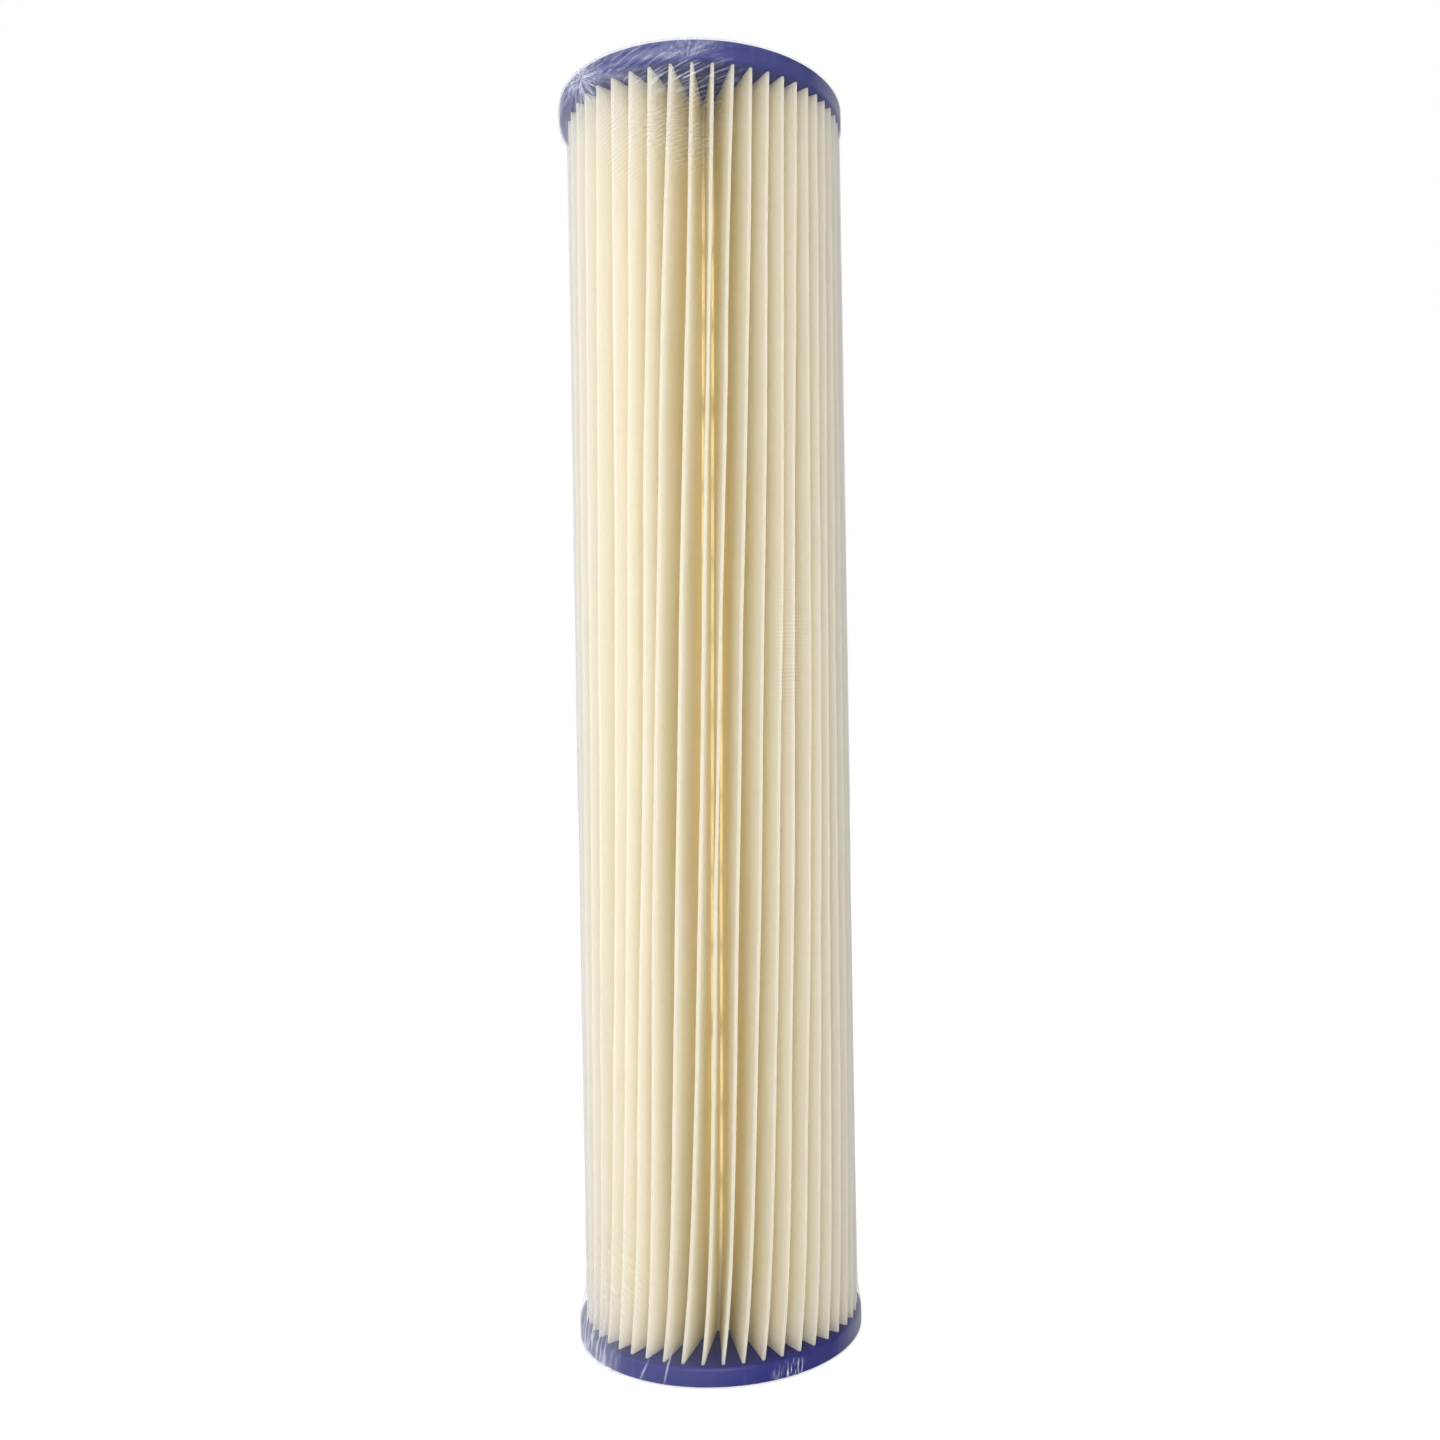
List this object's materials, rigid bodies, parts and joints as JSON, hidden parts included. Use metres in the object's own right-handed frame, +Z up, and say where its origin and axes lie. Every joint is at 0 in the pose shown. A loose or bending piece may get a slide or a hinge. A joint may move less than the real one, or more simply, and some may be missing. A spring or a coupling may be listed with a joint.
{
  "type": "filter cartridge",
  "caption": "Tall pleated water filter cartridge, open at both ends, with flat blue vinyl end caps cast round cream pleats and a perforated core, in clear shrink film.",
  "frame": {"origin": "centre of the bottom end face, on the cartridge's axis", "axes": "+Z up along the cartridge's axis, +X to the right and +Y to the back, where the media's glued seam is"},
  "size_m": [0.1162, 0.1162, 0.5],
  "materials": {
    "vinyl": "satin flexible vinyl, cast, blue",
    "media": "cream resin-bonded cellulose and polyester sheet, matt and slightly translucent",
    "glue": "smooth hot glue, cream",
    "core": "moulded natural polypropylene, white",
    "film": "clear shrink film, glossy, with small wrinkles"
  },
  "bodies": {
    "root": {"bottom_end_cap": "vinyl", "top_end_cap": "vinyl", "pleated_media": "media", "media_seam_glue": "glue", "core_section_1": "core", "core_section_2": "core", "core_section_3": "core", "core_section_4": "core", "shrink_film": "film"}
  },
  "joints": []
}
